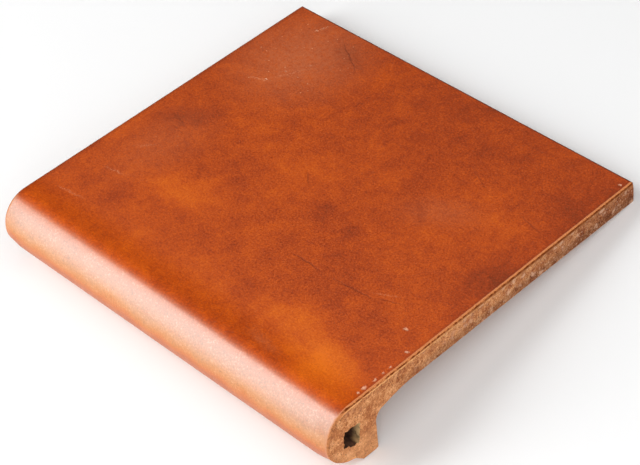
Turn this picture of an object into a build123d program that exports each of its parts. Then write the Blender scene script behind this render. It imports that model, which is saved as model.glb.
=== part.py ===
from build123d import *
import os
from math import atan2, cos, sin

os.makedirs("parts", exist_ok=True)

# Tread plate: its length runs along the nosing, its depth from nosing front to back edge
tread_length = 330.0
tread_depth = 305.0
plate_thickness = 17.5
back_top_radius = 1.2

# Nosing: a round front that rolls over from the top face
nosing_radius = 24.5

# Heel: the foot behind the nosing that hangs over the edge of the step
heel_below_nosing = 6.0
heel_behind_crown = 20.0
heel_foot_width = 13.5
foot_radius = 0.9

# Haunch: the underside thickens towards the heel
haunch_depth = 6.0
haunch_run = 27.0
heel_root_radius = 9.0
haunch_blend_radius = 60.0

# Hollow: a channel along the nosing, its corners as shares of the nosing radius from the crown's centre
hollow_front_top_shares = (-0.31, 0.20)
hollow_back_top_shares = (0.24, 0.17)
hollow_back_bottom_shares = (0.18, -0.53)
hollow_front_bottom_shares = (-0.40, -0.36)
hollow_corner_radius = 1.6

# Arris: the glazed edge that rounds off both ends of the top face and the nosing
arris_radius = 1.5
cut_overrun = 2.0
half_turn = 180

# Section points, measured from the nosing front and the top face
heel_drop = nosing_radius + nosing_radius + heel_below_nosing
heel_back = nosing_radius + heel_behind_crown
foot_front = heel_back - heel_foot_width
haunch_drop = plate_thickness + haunch_depth
haunch_end = heel_back + haunch_run
crown = (nosing_radius, 0)
nosing_centre = (nosing_radius, -nosing_radius)
nosing_front = (0, -nosing_radius)
nosing_low = (nosing_radius, -nosing_radius - nosing_radius)
foot_front_corner = (foot_front, -heel_drop)
foot_back_corner = (heel_back, -heel_drop)
haunch_root = (heel_back, -haunch_drop)
haunch_tip = (haunch_end, -plate_thickness)
back_low = (tread_depth, -plate_thickness)
back_top = (tread_depth, 0)

# Rest: the tile leans on the heel's back corner and the lower back edge
lean = atan2(heel_drop - plate_thickness, tread_depth - heel_back)
front_reach = nosing_radius * cos(lean) - nosing_radius * sin(lean) - nosing_radius
back_reach = (tread_depth - back_top_radius) * cos(lean) - back_top_radius * sin(lean) + back_top_radius
rest_level = (heel_back - foot_radius) * sin(lean) + (heel_drop - foot_radius) * cos(lean) + foot_radius
centre_shift = -(front_reach + back_reach) / 2
section_plane = Plane(
    origin=(0, centre_shift, rest_level),
    x_dir=(0, cos(lean), -sin(lean)),
    z_dir=(1, 0, 0),
)

tread_end = tread_length / 2
arris_reach = arris_radius + cut_overrun
crown_plane = Plane(
    origin=section_plane.from_local_coords((*crown, 0)),
    x_dir=(1, 0, 0),
    z_dir=-section_plane.x_dir,
)
nosing_axis = Axis(section_plane.from_local_coords((*nosing_centre, 0)), (1, 0, 0))


def hollow_corner(shares):
    """Place one corner of the hollow from its shares of the nosing radius."""
    along, up = shares
    return (nosing_radius + along * nosing_radius, up * nosing_radius - nosing_radius)


def corner_at(sketch, point):
    """Pick the sketch corner that lies nearest a section point."""
    return sketch.vertices().sort_by_distance((*point, 0))[0]


with BuildPart() as stair_tread:
    # Outline of the extruded section, from the crown round the nosing and the heel to the back edge
    with BuildSketch(section_plane) as section:
        with BuildLine() as outline:
            RadiusArc(crown, nosing_front, -nosing_radius)
            RadiusArc(nosing_front, nosing_low, -nosing_radius)
            Polyline(
                nosing_low,
                foot_front_corner,
                foot_back_corner,
                haunch_root,
                haunch_tip,
                back_low,
                back_top,
                crown,
            )
        make_face()
        fillet(corner_at(section, haunch_root), radius=heel_root_radius)
        fillet(corner_at(section, haunch_tip), radius=haunch_blend_radius)
        for foot_corner in (foot_front_corner, foot_back_corner, back_low):
            fillet(corner_at(section, foot_corner), radius=foot_radius)
        fillet(corner_at(section, back_top), radius=back_top_radius)
    extrude(amount=tread_end, both=True)

    # Hollow through the nosing from end to end
    with BuildSketch(section_plane) as hollow:
        with BuildLine() as hollow_outline:
            Polyline(
                hollow_corner(hollow_front_top_shares),
                hollow_corner(hollow_back_top_shares),
                hollow_corner(hollow_back_bottom_shares),
                hollow_corner(hollow_front_bottom_shares),
                close=True,
            )
        make_face()
        fillet(hollow.vertices(), radius=hollow_corner_radius)
    extrude(amount=tread_end, both=True, mode=Mode.SUBTRACT)

    # Rounded arris at both ends, straight along the top face and on round the nosing
    with BuildSketch(crown_plane) as arris:
        with Locations((tread_end - arris_radius, -arris_radius)):
            Rectangle(arris_reach, arris_reach, align=(Align.MIN, Align.MIN))
            Circle(arris_radius, mode=Mode.SUBTRACT)
        mirror(about=Plane.YZ)
    extrude(arris.sketch, amount=-tread_depth, mode=Mode.SUBTRACT)
    revolve(arris.sketch, axis=nosing_axis, revolution_arc=half_turn, mode=Mode.SUBTRACT)
stair_tread.part.label = "stair_tread"
export_step(stair_tread.part, "parts/stair_tread.step")
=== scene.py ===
import logging
from dataclasses import dataclass
from enum import Enum, IntEnum
from functools import partial, reduce
from math import atan2, cos, degrees, hypot, pi, radians, sin, tan

import bmesh
import bpy
from bmesh.types import BMEdge, BMesh, BMFace, BMVert
from bpy.types import Material, Node, NodeSocket
from mathutils import Matrix, Vector, noise


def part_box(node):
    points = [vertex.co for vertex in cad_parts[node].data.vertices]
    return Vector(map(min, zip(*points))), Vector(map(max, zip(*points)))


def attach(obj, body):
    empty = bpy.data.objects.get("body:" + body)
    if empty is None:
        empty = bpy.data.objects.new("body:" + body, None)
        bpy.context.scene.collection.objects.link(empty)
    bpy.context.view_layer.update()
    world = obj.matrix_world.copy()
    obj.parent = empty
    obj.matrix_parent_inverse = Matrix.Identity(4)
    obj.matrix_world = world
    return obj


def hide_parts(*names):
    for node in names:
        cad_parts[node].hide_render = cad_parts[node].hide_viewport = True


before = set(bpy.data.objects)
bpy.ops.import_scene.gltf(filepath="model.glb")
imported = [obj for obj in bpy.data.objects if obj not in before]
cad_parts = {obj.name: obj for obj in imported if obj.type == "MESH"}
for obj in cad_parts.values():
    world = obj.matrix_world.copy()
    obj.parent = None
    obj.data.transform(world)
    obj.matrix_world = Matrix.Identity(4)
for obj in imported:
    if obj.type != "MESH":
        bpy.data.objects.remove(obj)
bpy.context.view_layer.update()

log = logging.getLogger("stair_tread_tile")

MM = 0.001
NEAR = 1e-6
WELD = 1e-5
CUT_NEAR = 2e-5
TREAD_NODE = "stair_tread"
TREAD_BODY = "root"
IMAGE_WIDTH = 640
SENSOR_WIDTH = 36.0
MARK_DEPTH = 1000.0

# Numbers of the sockets by which a Mix node mixes colours
MIX_SHARE = 0
MIX_FIRST = 6
MIX_SECOND = 7
MIX_RESULT = 2

Point = tuple[float, float]
Triple = tuple[float, float, float]
Colour = tuple[float, float, float, float]


class Zone(IntEnum):
    """Surfaces of the tile, in the order of their material slots."""

    GLAZE = 0
    FRACTURE = 1
    CHANNEL = 2
    BARE = 3
    ARRIS = 4


def smooth_step(low: float, high: float, value: float) -> float:
    """Ease a value from 0 at low to 1 at high.

    Args:
        low: Value that gives 0.
        high: Value that gives 1.
        value: Value to ease.

    Returns:
        The eased share, from 0 to 1.
    """
    share = min(1.0, max(0.0, (value - low) / (high - low)))
    return share * share * (3.0 - 2.0 * share)


@dataclass
class TreadSection:
    """The extruded section in metres, measured from the nosing front and the top face."""

    depth: float = 305.0 * MM
    thickness: float = 17.5 * MM
    nosing_radius: float = 24.5 * MM
    heel_below_nosing: float = 6.0 * MM
    heel_behind_crown: float = 20.0 * MM
    foot_width: float = 13.5 * MM
    foot_radius: float = 0.9 * MM
    haunch_depth: float = 6.0 * MM
    haunch_run: float = 27.0 * MM
    root_radius: float = 9.0 * MM
    blend_radius: float = 60.0 * MM
    back_radius: float = 1.2 * MM
    hollow_shares: tuple[Point, ...] = ((-0.31, 0.20), (0.24, 0.17), (0.18, -0.53), (-0.40, -0.36))
    hollow_radius: float = 1.6 * MM
    nosing_steps: int = 64

    @property
    def heel_drop(self) -> float:
        """Depth of the foot below the top face."""
        return 2.0 * self.nosing_radius + self.heel_below_nosing

    @property
    def heel_back(self) -> float:
        """Distance of the heel's back face from the nosing front."""
        return self.nosing_radius + self.heel_behind_crown

    @property
    def lean(self) -> float:
        """Angle at which the tile lies on its heel and its back edge."""
        return atan2(self.heel_drop - self.thickness, self.depth - self.heel_back)

    @property
    def placing(self) -> Matrix:
        """Lay the tile down on the floor, centred front to back.

        Returns:
            Matrix from the tile's own frame to the shared one.
        """
        slope, rise = cos(self.lean), sin(self.lean)
        front = self.nosing_radius * (slope - rise - 1.0)
        back = (self.depth - self.back_radius) * slope - self.back_radius * rise + self.back_radius
        foot = self.foot_radius
        level = (self.heel_back - foot) * rise + (self.heel_drop - foot) * slope + foot
        shift = Matrix.Translation((0.0, -(front + back) / 2.0, level))
        return shift @ Matrix.Rotation(-self.lean, 4, "X")

    def corners(self) -> list[tuple[Point, float]]:
        """List the corners behind the nosing, from the foot round to the back edge.

        Returns:
            Each corner with the radius that rounds it.
        """
        foot_front = self.heel_back - self.foot_width
        haunch_level = -self.thickness - self.haunch_depth
        return [
            ((foot_front, -self.heel_drop), self.foot_radius),
            ((self.heel_back, -self.heel_drop), self.foot_radius),
            ((self.heel_back, haunch_level), self.root_radius),
            ((self.heel_back + self.haunch_run, -self.thickness), self.blend_radius),
            ((self.depth, -self.thickness), self.foot_radius),
            ((self.depth, 0.0), 0.0),
        ]

    def hollow_corners(self) -> list[Point]:
        """Place the hollow's corners from their shares of the nosing radius."""
        radius = self.nosing_radius
        return [(radius + along * radius, up * radius - radius) for along, up in self.hollow_shares]

    def rim_depth(self, y: float, z: float) -> float:
        """Measure how far a point of the end face lies inside the glazed outline.

        Args:
            y: Distance from the nosing front.
            z: Height above the top face.

        Returns:
            Depth below the top face or inside the nosing's round.
        """
        if y >= self.nosing_radius:
            return -z
        return self.nosing_radius - hypot(y - self.nosing_radius, z + self.nosing_radius)

    def glazed(self, y: float, z: float) -> bool:
        """Tell whether a point of the outline lies on the top face or the nosing's round."""
        return z > -NEAR or (y < self.nosing_radius + NEAR and self.rim_depth(y, z) < WELD)


def setback(before: Point, corner: Point, after: Point, radius: float) -> float:
    """Work out how far from a corner its rounding starts.

    Args:
        before: Point before the corner.
        corner: The corner.
        after: Point after the corner.
        radius: Radius of the rounding.

    Returns:
        Distance from the corner to the tangent points.
    """
    arriving = Vector(corner) - Vector(before)
    leaving = Vector(after) - Vector(corner)
    return radius * tan(arriving.angle(leaving) / 2.0)


@dataclass(frozen=True)
class Ripple:
    """A fractal noise in the mesh, by its features per millimetre along each axis and its layers."""

    rates: Triple
    dimension: float
    lacunarity: float = 2.0
    octaves: int = 3

    def at(self, spot: Vector) -> float:
        """Read the noise at a point in millimetres."""
        place = Vector([size * rate for size, rate in zip(spot, self.rates)])
        return noise.fractal(place, self.dimension, self.lacunarity, self.octaves)


@dataclass(frozen=True)
class BrokenEnd:
    """Relief of the snapped end face below its knife cut, in millimetres."""

    knife_depth: float = 1.9
    knife_inset: float = 0.3
    lip_ripple: Ripple = Ripple((0.35, 0.35, 0.35), 0.6, 2.1, 4)
    lip_swing: float = 0.5
    lip_blur: float = 0.35
    grain_rate: float = 0.45
    grain_depth: float = 0.16
    grain_swing: float = 0.15
    swell_rate: float = 0.11
    swell_offset: Triple = (7.0, 3.0, 1.0)
    swell_depth: float = 0.22
    swell_run: Point = (0.5, 5.0)
    pore_rate: float = 0.20
    pore_depth: float = 0.8
    pore_edge: Point = (0.08, 0.28)

    def inset(self, spot: Vector, rim: float) -> float:
        """Work out how far the face lies inside the end plane at one point.

        Args:
            spot: Point of the end face.
            rim: Depth inside the glazed outline.

        Returns:
            Inset in millimetres.
        """
        wall_end = self.knife_depth + self.lip_swing * self.lip_ripple.at(spot)
        lip = smooth_step(wall_end - self.lip_blur, wall_end + self.lip_blur, rim)
        grain = self.grain_depth + self.grain_swing * noise.noise(spot * self.grain_rate)
        swell = 1.0 + noise.noise(spot * self.swell_rate + Vector(self.swell_offset))
        swell *= self.swell_depth * smooth_step(*self.swell_run, rim - wall_end)
        gap = noise.voronoi(spot * self.pore_rate)[0][0]
        pore = self.pore_depth * (1.0 - smooth_step(*self.pore_edge, gap))
        return self.knife_inset * (1.0 - lip) + (max(0.0, grain) + swell + pore) * lip


@dataclass(frozen=True)
class TornHollow:
    """Uneven wall of the hollow, most torn at its mouths, in millimetres."""

    seed: int = 12
    calm_share: float = 0.30
    mouth_reach: float = 7.0
    rim_reach: float = 3.5
    coarse_rate: float = 0.35
    coarse_pull: float = 1.1
    fine_rate: float = 0.9
    fine_pull: float = 0.7
    widening: float = 0.5

    def shift(self, spot: Vector, inside: float, corners: list[Vector]) -> Vector:
        """Shift a point of the hollow's wall or of the end face round it.

        Args:
            spot: Point of the mesh.
            inside: Distance from the end plane.
            corners: The hollow's corners at the station of the point.

        Returns:
            Shift in millimetres.
        """
        torn = 1.0 - smooth_step(0.0, self.mouth_reach, inside)
        mouth = self.calm_share + (1.0 - self.calm_share) * torn
        near = 1.0 - smooth_step(0.0, self.rim_reach, self.gap(spot, corners))
        pull = noise.noise_vector(spot * self.coarse_rate) * self.coarse_pull
        pull += noise.noise_vector(spot * self.fine_rate) * self.fine_pull
        middle = sum(corners, Vector()) / len(corners)
        pull += (spot - middle).normalized() * self.widening
        return Vector((0.0, pull.y, pull.z)) * (mouth * near)

    def gap(self, spot: Vector, corners: list[Vector]) -> float:
        """Measure the distance from a point to the hollow's straight-sided outline.

        Args:
            spot: Point of the mesh.
            corners: The hollow's corners at the station of the point.

        Returns:
            Distance in millimetres.
        """
        gaps = []
        for start, stop in zip(corners, corners[1:] + corners[:1]):
            run = stop - start
            share = min(1.0, max(0.0, (spot - start).dot(run) / run.length_squared))
            gaps.append((start + run * share - spot).length)
        return min(gaps)


@dataclass
class TreadTile:
    """The fired tile: one closed mesh, extruded, cut, relieved and dressed."""

    section: TreadSection
    length: float
    arris_radius: float = 1.5 * MM
    arris_steps: int = 5
    small_radius: float = 2.0 * MM
    small_steps: int = 3
    large_steps: int = 10
    end_slab: float = 10.0 * MM
    fine_pitch: float = 0.8 * MM
    coarse_pitch: float = 1.3 * MM
    fine_front: float = 84.0 * MM
    slab_pitch: float = 1.4 * MM
    first_stride: float = 2.0 * MM
    stride_growth: float = 1.3
    longest_stride: float = 9.0 * MM
    last_stride_share: float = 1.5
    glaze_skin: float = 0.2 * MM
    sharp_angle: float = radians(40.0)
    broken_end: BrokenEnd = BrokenEnd()
    torn_hollow: TornHollow = TornHollow()
    foot_share: float = 0.3
    glaze_ripple: Ripple = Ripple((0.028, 0.028, 0.028), 0.8)
    glaze_swell: float = 0.05 * MM
    clay_depth: float = 0.10 * MM
    drag_ripple: Ripple = Ripple((0.012, 0.55, 0.55), 0.7)
    drag_swing: float = 0.07 * MM
    blot_ripple: Ripple = Ripple((0.09, 0.09, 0.09), 0.8)
    blot_swing: float = 0.05 * MM
    draw_in: float = 1.4 * MM
    draw_in_reach: float = 15.0 * MM
    draw_in_start: Point = (15.0, 95.0)
    draw_in_stop: Point = (140.0, 180.0)

    @property
    def end(self) -> float:
        """Half of the tile's length."""
        return self.length / 2.0

    def lay_outline(self, bm: BMesh, station: float) -> BMFace:
        """Draw the section's outline as one face.

        Args:
            bm: Mesh to draw in.
            station: Place along the nosing.

        Returns:
            The section's face, with every corner rounded but the back top one.
        """
        shape = self.section
        radius = shape.nosing_radius
        crown = bm.verts.new((station, radius, 0.0))
        arc = bmesh.ops.spin(
            bm, geom=[crown], cent=(station, radius, -radius), axis=(1.0, 0.0, 0.0),
            angle=pi, steps=shape.nosing_steps,
        )
        low = next(item for item in arc["geom_last"] if isinstance(item, BMVert))
        corners = [bm.verts.new((station, *point)) for point, _ in shape.corners()]
        run = [low, *corners, crown]
        for start, stop in zip(run, run[1:]):
            bm.edges.new((start, stop))
        face = bmesh.ops.contextual_create(bm, geom=bm.edges[:])["faces"][0]
        points = [(radius, -2.0 * radius), *[point for point, _ in shape.corners()], (radius, 0.0)]
        rounded = zip(corners, points, points[1:], points[2:], [size for _, size in shape.corners()])
        for vert, before, corner, after, size in rounded:
            if size > 0.0:
                self.round_corner(bm, vert, setback(before, corner, after, size), size)
        return face if face.is_valid else bm.faces[:][0]

    def round_corner(self, bm: BMesh, vert: BMVert, reach: float, radius: float) -> None:
        """Round one corner of an outline.

        Args:
            bm: Mesh that holds the corner.
            vert: The corner.
            reach: Distance from the corner to where the rounding starts.
            radius: Radius of the rounding, which sets its segments.
        """
        segments = self.small_steps if radius < self.small_radius else self.large_steps
        bmesh.ops.bevel(
            bm, geom=[vert], offset=reach, offset_type="OFFSET", segments=segments, profile=0.5,
            affect="VERTICES", material=-1, clamp_overlap=False,
        )

    def ease_edges(self, bm: BMesh, edges: list[BMEdge], radius: float, segments: int) -> None:
        """Round a run of edges."""
        bmesh.ops.bevel(
            bm, geom=edges, offset=radius, offset_type="OFFSET", segments=segments, profile=0.5,
            affect="EDGES", material=-1, clamp_overlap=False, loop_slide=True,
        )

    def at(self, item: BMEdge | BMFace, station: float) -> bool:
        """Tell whether all of an edge or face lies at one place along the nosing."""
        return all(abs(vert.co.x - station) < NEAR for vert in item.verts)

    def cut(self, bm: BMesh, axis: Triple, stations: list[float]) -> None:
        """Cut the mesh into rows.

        Args:
            bm: Mesh to cut.
            axis: Direction across the cuts.
            stations: Places of the cuts along that direction.
        """
        for station in stations:
            geom = bm.verts[:] + bm.edges[:] + bm.faces[:]
            place = Vector(axis) * station
            bmesh.ops.bisect_plane(bm, geom=geom, dist=CUT_NEAR, plane_co=place, plane_no=axis)

    def rows_back(self) -> list[float]:
        """List the cuts from the nosing front to the back edge.

        Returns:
            Places of the cuts, closer together at the front.
        """
        rows = []
        row = self.fine_pitch
        while row < self.section.depth - self.section.back_radius:
            rows.append(row)
            row += self.fine_pitch if row < self.fine_front else self.coarse_pitch
        return rows

    def rows_down(self) -> list[float]:
        """List the cuts from the top face down to the foot."""
        first = self.arris_radius + self.fine_pitch
        count = int((self.section.heel_drop - first) / self.fine_pitch)
        return [-first - row * self.fine_pitch for row in range(count + 1)]

    def build_end(self) -> BMesh:
        """Model the last slab of the tile, with its arris, its hollow and a fine end face.

        Returns:
            The slab, open towards the middle of the tile.
        """
        shape = self.section
        inner = self.end - self.end_slab
        bm = bmesh.new()
        face = self.lay_outline(bm, inner)
        grown = bmesh.ops.extrude_face_region(bm, geom=[face])["geom"]
        moved = [item for item in grown if isinstance(item, BMVert)]
        bmesh.ops.translate(bm, vec=(self.end_slab, 0.0, 0.0), verts=moved)
        rim = [
            edge for edge in bm.edges
            if self.at(edge, self.end) and all(shape.glazed(*vert.co.yz) for vert in edge.verts)
        ]
        self.ease_edges(bm, rim, self.arris_radius, self.arris_steps)
        lowest = -self.arris_radius - NEAR
        back = [
            edge for edge in bm.edges
            if all(abs(vert.co.y - shape.depth) < NEAR and vert.co.z > lowest for vert in edge.verts)
        ]
        self.ease_edges(bm, back, shape.back_radius, self.small_steps)
        caps = [f for f in bm.faces if self.at(f, self.end) or self.at(f, inner)]
        bmesh.ops.delete(bm, geom=caps, context="FACES_ONLY")
        self.open_hollow(bm)
        rim = [e for e in bm.edges if self.at(e, self.end) and len(e.link_faces) < 2]
        bmesh.ops.triangle_fill(bm, use_beauty=True, use_dissolve=False, edges=rim, normal=(1.0, 0.0, 0.0))
        self.cut(bm, (0.0, 1.0, 0.0), self.rows_back())
        self.cut(bm, (0.0, 0.0, 1.0), self.rows_down())
        strips = int((self.end_slab - self.arris_radius) / self.slab_pitch)
        self.cut(bm, (1.0, 0.0, 0.0), [inner + strip * self.slab_pitch for strip in range(1, strips)])
        self.square_end_face(bm)
        return bm

    def open_hollow(self, bm: BMesh) -> None:
        """Draw the hollow's rounded outline at the end and run its walls inwards.

        Args:
            bm: The end slab.
        """
        points = self.section.hollow_corners()
        ring = [bm.verts.new((self.end, *point)) for point in points]
        for start, stop in zip(ring, ring[1:] + ring[:1]):
            bm.edges.new((start, stop))
        radius = self.section.hollow_radius
        for index, vert in enumerate(ring):
            before, after = points[index - 1], points[(index + 1) % len(points)]
            self.round_corner(bm, vert, setback(before, points[index], after, radius), radius)
        loop = [e for e in bm.edges if e.is_wire]
        walls = bmesh.ops.extrude_edge_only(bm, edges=loop)["geom"]
        moved = [item for item in walls if isinstance(item, BMVert)]
        bmesh.ops.translate(bm, vec=(-self.end_slab, 0.0, 0.0), verts=moved)

    def square_end_face(self, bm: BMesh) -> None:
        """Dissolve the slanting edges inside the end face, so that its squares are left.

        Args:
            bm: The end slab, after its cuts.
        """
        slanting = []
        for edge in bm.edges:
            if not self.at(edge, self.end) or not all(self.at(f, self.end) for f in edge.link_faces):
                continue
            span = edge.verts[1].co - edge.verts[0].co
            if abs(span.y) > NEAR and abs(span.z) > NEAR:
                slanting.append(edge)
        bmesh.ops.dissolve_edges(bm, edges=slanting, use_verts=True)

    def run_to_middle(self, bm: BMesh) -> None:
        """Extrude the slab's open side in growing strides to the middle of the tile.

        Args:
            bm: The end slab.
        """
        station = self.end - self.end_slab
        stride = self.first_stride
        while station > NEAR:
            stride = min(stride * self.stride_growth, self.longest_stride)
            step = station if station < self.last_stride_share * stride else stride
            rim = [e for e in bm.edges if len(e.link_faces) == 1 and self.at(e, station)]
            walls = bmesh.ops.extrude_edge_only(bm, edges=rim)["geom"]
            station -= step
            for item in walls:
                if isinstance(item, BMVert):
                    item.co.x = station

    def sort_faces(self, bm: BMesh) -> None:
        """Give every face its zone and mark the edges between zones as sharp.

        Args:
            bm: The whole tile before its relief.
        """
        radius = self.section.nosing_radius
        ys, zs = zip(*self.section.hollow_corners())
        skin = self.arris_radius + self.glaze_skin
        for face in bm.faces:
            face.smooth = True
            x, y, z = face.calc_center_median()
            round_depth = radius - hypot(y - radius, z + radius)
            if all(abs(abs(vert.co.x) - self.end) < NEAR for vert in face.verts):
                face.material_index = Zone.FRACTURE
            elif min(ys) - MM < y < max(ys) + MM and min(zs) - MM < z < max(zs) + MM:
                face.material_index = Zone.CHANNEL
            elif z > -skin or (y < radius and round_depth < skin):
                worn = abs(x) > self.end - self.arris_radius
                face.material_index = Zone.ARRIS if worn else Zone.GLAZE
            else:
                face.material_index = Zone.BARE
        for edge in bm.edges:
            kinds = {face.material_index for face in edge.link_faces}
            steep = edge.calc_face_angle(0.0) > self.sharp_angle
            edge.smooth = (len(kinds) < 2 or kinds == {Zone.GLAZE, Zone.ARRIS}) and not steep

    def relieve(self, bm: BMesh) -> None:
        """Work the fine relief into the surfaces.

        Args:
            bm: The whole tile, upright in its own frame.
        """
        bm.normal_update()
        noise.seed_set(self.torn_hollow.seed)
        moves = [self.relief_at(vert) for vert in bm.verts]
        for vert, move in zip(bm.verts, moves):
            vert.co += move

    def relief_at(self, vert: BMVert) -> Vector:
        """Work out the relief of one point from the zones that meet there.

        Args:
            vert: Point of the mesh.

        Returns:
            Shift in metres.
        """
        shape = self.section
        zones = {face.material_index for face in vert.link_faces}
        spot = vert.co / MM
        inside = self.end - abs(vert.co.x)
        inwards = -MM if vert.co.x > 0.0 else MM
        move = Vector()
        if Zone.FRACTURE in zones:
            share = self.foot_share if Zone.BARE in zones else 1.0
            rim = shape.rim_depth(vert.co.y, vert.co.z) / MM
            move.x += inwards * share * self.broken_end.inset(spot, rim)
        elif Zone.ARRIS in zones and inside < self.arris_radius:
            move.x += inwards * self.broken_end.knife_inset * (1.0 - inside / self.arris_radius)
        if Zone.GLAZE in zones and inside > self.arris_radius - NEAR:
            move -= vert.normal * (self.glaze_swell * max(0.0, 1.0 + self.glaze_ripple.at(spot)))
        if zones == {Zone.BARE}:
            drag = self.drag_swing * self.drag_ripple.at(spot)
            blot = self.blot_swing * self.blot_ripple.at(spot)
            move -= vert.normal * (self.clay_depth + drag + blot)
        if Zone.CHANNEL in zones or (Zone.FRACTURE in zones and vert.co.y < shape.heel_back):
            corners = [Vector((vert.co.x, *point)) / MM for point in shape.hollow_corners()]
            move += self.torn_hollow.shift(spot, inside / MM, corners) * MM
        if vert.co.y < shape.nosing_radius:
            move += self.drawn_end(vert.co, inside)
        return move

    def drawn_end(self, place: Vector, inside: float) -> Vector:
        """Pull the nosing in towards its middle near the ends, most at its lower front.

        Args:
            place: Point of the mesh.
            inside: Distance from the end plane.

        Returns:
            Shift in metres.
        """
        radius = self.section.nosing_radius
        out = Vector((0.0, place.y - radius, place.z + radius))
        turn = degrees(atan2(-out.y, out.z))
        weight = smooth_step(*self.draw_in_start, turn) * (1.0 - smooth_step(*self.draw_in_stop, turn))
        taper = 1.0 - smooth_step(0.0, self.draw_in_reach, inside)
        return out * (-self.draw_in / radius * weight * taper)

    def build(self) -> bpy.types.Object:
        """Model the whole tile and lay it down.

        Returns:
            The tile's object, at the origin, with its place in its mesh.
        """
        bm = self.build_end()
        self.run_to_middle(bm)
        geom = bm.verts[:] + bm.edges[:] + bm.faces[:]
        bmesh.ops.mirror(bm, geom=geom, matrix=Matrix.Identity(4), merge_dist=WELD, axis="X")
        bmesh.ops.remove_doubles(bm, verts=bm.verts[:], dist=WELD)
        bmesh.ops.recalc_face_normals(bm, faces=bm.faces[:])
        self.sort_faces(bm)
        self.relieve(bm)
        bmesh.ops.transform(bm, matrix=self.section.placing, verts=bm.verts[:])
        mesh = bpy.data.meshes.new("tread_tile")
        bm.to_mesh(mesh)
        bm.free()
        piece = bpy.data.objects.new("tread_tile", mesh)
        bpy.context.scene.collection.objects.link(piece)
        return piece

    def dress(self, piece: bpy.types.Object) -> None:
        """Give each zone of the tile its finish, in the order of the slots.

        Args:
            piece: The tile's object.
        """
        finishes = (
            Glaze(self.section, self.end),
            Fracture(self.section),
            Channel(self.section, self.end),
            BareClay(self.section),
            Arris(self.section),
        )
        for finish in finishes:
            piece.data.materials.append(finish.material())


class MarkKind(Enum):
    """What a mark on the glaze does."""

    AMBER = "amber"
    UMBER = "umber"
    HAZE = "haze_and_sheen"
    CREASE = "crease"
    SCUFF = "scuff"
    CHIP = "chip"


@dataclass(frozen=True)
class Mark:
    """One soft oval mark on the top face, in millimetres from the nosing's middle and front."""

    along: float
    back: float
    reach: float
    spread: float
    turn: float
    strength: float
    core: float = 0.0


@dataclass(frozen=True)
class Grain:
    """A noise pattern, by the size of its features in millimetres and its finer layers."""

    size: float
    detail: float = 3.0
    roughness: float = 0.6
    distortion: float = 0.0


@dataclass(frozen=True)
class Ease:
    """A smooth change of a value, from start at low to stop at high."""

    low: float
    high: float
    start: float = 0.0
    stop: float = 1.0

    def past(self, place: float) -> "Ease":
        """Move the change along by a distance."""
        return Ease(self.low + place, self.high + place, self.start, self.stop)


@dataclass(frozen=True)
class Wander:
    """How far drawn lines stray and over what distance, in millimetres."""

    size: float
    reach: float
    detail: float = 3.0


@dataclass(frozen=True)
class Bump:
    """A fine relief, by its rise in millimetres and the share of it that shows."""

    rise: float
    strength: float


def marks(*rows: tuple[float, ...]) -> tuple[Mark, ...]:
    """Read rows of numbers as marks."""
    return tuple(Mark(*row) for row in rows)


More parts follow.
